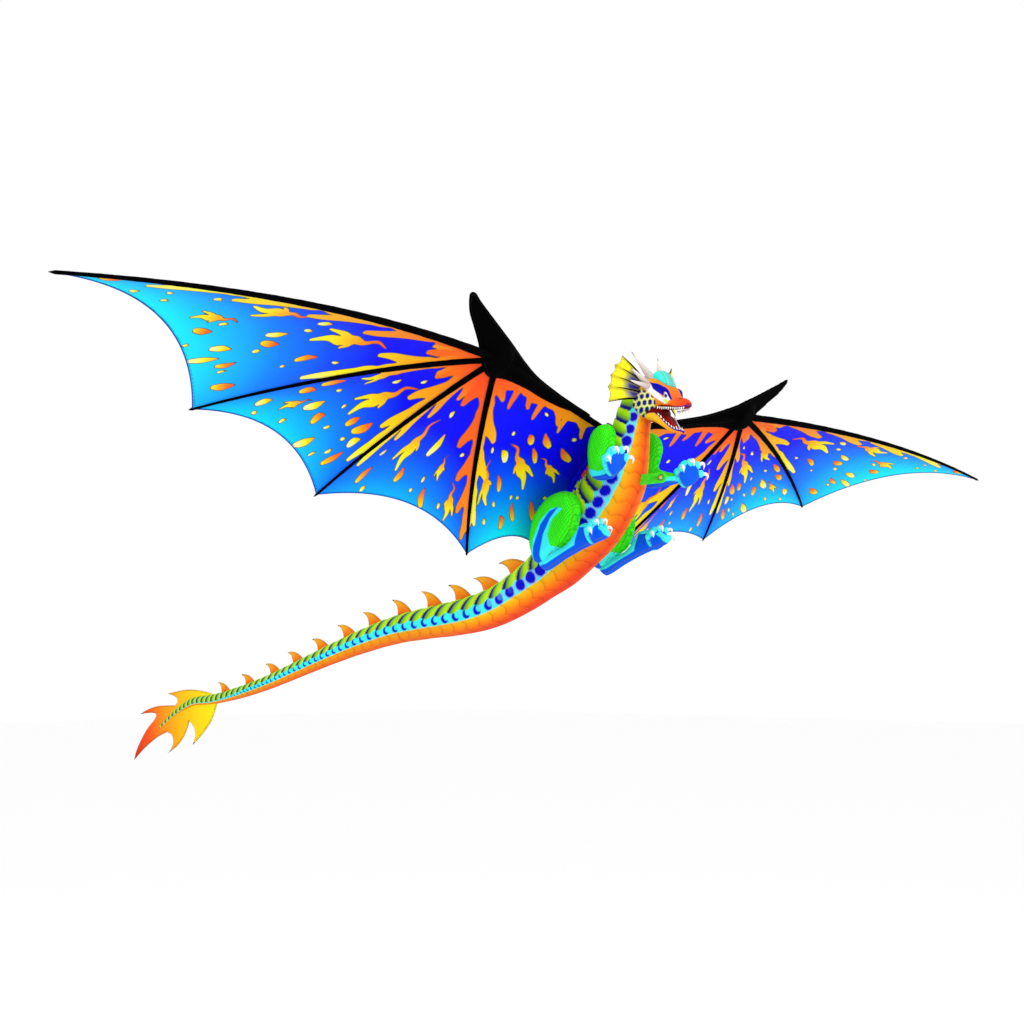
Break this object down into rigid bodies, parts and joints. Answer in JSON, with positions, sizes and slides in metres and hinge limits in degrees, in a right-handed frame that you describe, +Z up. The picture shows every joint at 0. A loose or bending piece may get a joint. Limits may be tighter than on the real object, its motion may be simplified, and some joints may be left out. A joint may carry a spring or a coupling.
{
  "type": "dragon kite",
  "caption": "Single-line kite in the shape of a flying dragon: bat wings on fibreglass rods, stuffed body with legs and open jaws, and a long jointed tail with spikes and a fin.",
  "frame": {"origin": "centre of the tow eyelet on the dragon's chest, where the flying line clips on", "axes": "+X to the dragon's left wing tip, -Y the way its head looks with the tail towards +Y, +Z up in flight"},
  "size_m": [1.9264, 1.3509, 0.6602],
  "materials": {
    "sail_nylon": "printed ripstop nylon, blue to cyan with orange and yellow flames",
    "black_nylon": "matt woven nylon",
    "fibreglass": "pultruded fibreglass rod",
    "black_vinyl": "moulded vinyl",
    "brass": "plated eyelet",
    "body_nylon": "printed nylon, orange belly, cyan side and lime back plates",
    "leg_nylon": "printed nylon, green scales and a cyan inner side",
    "paw_nylon": "printed nylon, blue palm and cyan toes",
    "horn_nylon": "plain nylon",
    "frill_nylon": "yellow nylon with black ribs",
    "crest_nylon": "orange to yellow nylon"
  },
  "bodies": {
    "torso": {"torso_shell": "body_nylon", "spine_rod": "fibreglass", "shoulder_fitting": "black_vinyl", "tow_tab": "body_nylon", "tow_eyelet": "brass"},
    "wing_left": {"arm_rod_left": "fibreglass", "arm_sleeve_left": "black_nylon", "wrist_hub_left": "black_vinyl", "thumb_fin_left": "black_nylon", "leading_edge_rod_left": "fibreglass", "finger_1_rod_left": "fibreglass", "finger_2_rod_left": "fibreglass", "finger_3_rod_left": "fibreglass", "leading_edge_sleeve_left": "black_nylon", "finger_1_sleeve_left": "black_nylon", "finger_2_sleeve_left": "black_nylon", "finger_3_sleeve_left": "black_nylon", "sail_panel_1_left": "sail_nylon", "sail_panel_2_left": "sail_nylon", "sail_panel_3_left": "sail_nylon", "sail_panel_4_left": "sail_nylon"},
    "wing_right": {"arm_rod_right": "fibreglass", "arm_sleeve_right": "black_nylon", "wrist_hub_right": "black_vinyl", "thumb_fin_right": "black_nylon", "leading_edge_rod_right": "fibreglass", "finger_1_rod_right": "fibreglass", "finger_2_rod_right": "fibreglass", "finger_3_rod_right": "fibreglass", "leading_edge_sleeve_right": "black_nylon", "finger_1_sleeve_right": "black_nylon", "finger_2_sleeve_right": "black_nylon", "finger_3_sleeve_right": "black_nylon", "sail_panel_1_right": "sail_nylon", "sail_panel_2_right": "sail_nylon", "sail_panel_3_right": "sail_nylon", "sail_panel_4_right": "sail_nylon"},
    "head": {"skull": "body_nylon", "crown_horn_left": "horn_nylon", "crown_horn_right": "horn_nylon"},
    "lower_jaw": {"jaw": "body_nylon"},
    "ear_left": {"ear_frill_left": "frill_nylon"},
    "front_leg_left": {"fore_leg_left": "leg_nylon"},
    "front_paw_left": {"fore_paw_left": "paw_nylon"},
    "rear_leg_left": {"hind_leg_left": "leg_nylon"},
    "rear_paw_left": {"hind_paw_left": "paw_nylon"},
    "ear_right": {"ear_frill_right": "frill_nylon"},
    "front_leg_right": {"fore_leg_right": "leg_nylon"},
    "front_paw_right": {"fore_paw_right": "paw_nylon"},
    "rear_leg_right": {"hind_leg_right": "leg_nylon"},
    "rear_paw_right": {"hind_paw_right": "paw_nylon"},
    "tail_1": {"tail_length_1": "body_nylon", "tail_crest_1": "crest_nylon"},
    "tail_2": {"tail_length_2": "body_nylon", "tail_crest_2": "crest_nylon"},
    "tail_3": {"tail_length_3": "body_nylon", "tail_crest_3": "crest_nylon"},
    "tail_4": {"tail_length_4": "body_nylon", "tail_crest_4": "crest_nylon"},
    "tail_tip": {"tail_fin": "crest_nylon"}
  },
  "joints": [
    {"name": "wing_fold_left", "type": "hinge", "parent": "torso", "child": "wing_left", "pos_m": [0.008, 0.098, 0.078], "axis": [0, -0.6467, 0.7627], "range_deg": [-8, 75], "stiffness_Nm_per_rad": 8},
    {"name": "wing_fold_right", "type": "hinge", "parent": "torso", "child": "wing_right", "pos_m": [-0.008, 0.098, 0.078], "axis": [0, 0.6467, -0.7627], "range_deg": [-8, 75], "stiffness_Nm_per_rad": 8},
    {"name": "head_nod", "type": "hinge", "parent": "torso", "child": "head", "pos_m": [0, 0.054, 0.085], "axis": [1, 0, 0], "range_deg": [-12, 12], "stiffness_Nm_per_rad": 1.5},
    {"name": "jaw_open", "type": "hinge", "parent": "head", "child": "lower_jaw", "pos_m": [0, 0.022, 0.086], "axis": [1, 0, 0], "range_deg": [-8, 12], "stiffness_Nm_per_rad": 0.3},
    {"name": "ear_flap_left", "type": "hinge", "parent": "head", "child": "ear_left", "pos_m": [0.034, 0.014, 0.118], "axis": [0, 0, 1], "range_deg": [-20, 20], "stiffness_Nm_per_rad": 0.1},
    {"name": "front_leg_swing_left", "type": "hinge", "parent": "torso", "child": "front_leg_left", "pos_m": [0.056, 0.06, 0.06], "axis": [1, 0, 0], "range_deg": [-20, 20], "stiffness_Nm_per_rad": 1},
    {"name": "front_paw_bend_left", "type": "hinge", "parent": "front_leg_left", "child": "front_paw_left", "pos_m": [0.067, 0.048, -0.005], "axis": [1, 0, 0], "range_deg": [-12, 12], "stiffness_Nm_per_rad": 0.4},
    {"name": "rear_leg_swing_left", "type": "hinge", "parent": "torso", "child": "rear_leg_left", "pos_m": [0.065, 0.122, -0.03], "axis": [1, 0, 0], "range_deg": [-15, 15], "stiffness_Nm_per_rad": 1.5},
    {"name": "rear_paw_bend_left", "type": "hinge", "parent": "rear_leg_left", "child": "rear_paw_left", "pos_m": [0.0685, 0.162, -0.114], "axis": [1, 0, 0], "range_deg": [-6, 10], "stiffness_Nm_per_rad": 0.6},
    {"name": "ear_flap_right", "type": "hinge", "parent": "head", "child": "ear_right", "pos_m": [-0.034, 0.014, 0.118], "axis": [0, 0, 1], "range_deg": [-20, 20], "stiffness_Nm_per_rad": 0.1},
    {"name": "front_leg_swing_right", "type": "hinge", "parent": "torso", "child": "front_leg_right", "pos_m": [-0.056, 0.06, 0.06], "axis": [1, 0, 0], "range_deg": [-20, 20], "stiffness_Nm_per_rad": 1},
    {"name": "front_paw_bend_right", "type": "hinge", "parent": "front_leg_right", "child": "front_paw_right", "pos_m": [-0.067, 0.048, -0.005], "axis": [1, 0, 0], "range_deg": [-12, 12], "stiffness_Nm_per_rad": 0.4},
    {"name": "rear_leg_swing_right", "type": "hinge", "parent": "torso", "child": "rear_leg_right", "pos_m": [-0.065, 0.122, -0.03], "axis": [1, 0, 0], "range_deg": [-15, 15], "stiffness_Nm_per_rad": 1.5},
    {"name": "rear_paw_bend_right", "type": "hinge", "parent": "rear_leg_right", "child": "rear_paw_right", "pos_m": [-0.0685, 0.162, -0.114], "axis": [1, 0, 0], "range_deg": [-6, 10], "stiffness_Nm_per_rad": 0.6},
    {"name": "tail_swing_1", "type": "hinge", "parent": "torso", "child": "tail_1", "pos_m": [0, 0.2225, -0.1303], "axis": [0, 0.4124, 0.911], "range_deg": [-12, 12], "stiffness_Nm_per_rad": 4},
    {"name": "tail_lift_2", "type": "hinge", "parent": "tail_1", "child": "tail_2", "pos_m": [0, 0.4164, -0.1897], "axis": [1, 0, 0], "range_deg": [-12, 12], "stiffness_Nm_per_rad": 4, "springref_deg": 5.16},
    {"name": "tail_swing_3", "type": "hinge", "parent": "tail_2", "child": "tail_3", "pos_m": [0, 0.6249, -0.2221], "axis": [0, 0.2421, 0.9703], "range_deg": [-12, 12], "stiffness_Nm_per_rad": 2},
    {"name": "tail_lift_4", "type": "hinge", "parent": "tail_3", "child": "tail_4", "pos_m": [0, 0.8283, -0.2787], "axis": [1, 0, 0], "range_deg": [-12, 12], "stiffness_Nm_per_rad": 1, "springref_deg": 2.29},
    {"name": "tail_fin_swing", "type": "hinge", "parent": "tail_4", "child": "tail_tip", "pos_m": [0, 1.0445, -0.3252], "axis": [0, 0.1961, 0.9806], "range_deg": [-20, 20], "stiffness_Nm_per_rad": 0.5}
  ]
}
